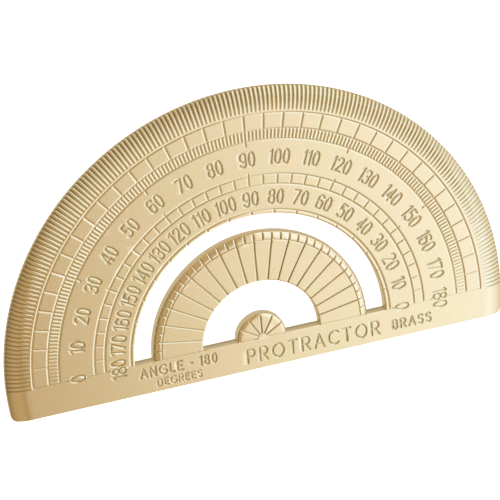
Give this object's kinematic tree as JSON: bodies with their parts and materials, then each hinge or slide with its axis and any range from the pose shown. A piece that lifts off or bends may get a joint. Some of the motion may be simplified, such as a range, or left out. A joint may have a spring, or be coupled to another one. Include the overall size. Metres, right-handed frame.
{
  "type": "protractor",
  "caption": "Flat brass half-round protractor with a fluted rim, two engraved degree scales, a crescent window and an inner fan scale over a straight ruling bar.",
  "frame": {"origin": "under the centre mark, on the back face: where the engraved baseline and the 90 degree line cross", "axes": "+X along the baseline to the right as the scales are read, +Y towards 90 degrees, +Z out of the graduated face"},
  "size_m": [0.1006, 0.0567, 0.002],
  "materials": {
    "brass_plate": "satin brushed, softly rounded engraving"
  },
  "bodies": {
    "root": {"base_bar": "brass_plate", "degree_arc": "brass_plate", "fan_arc": "brass_plate", "centre_rosette": "brass_plate"}
  },
  "joints": []
}
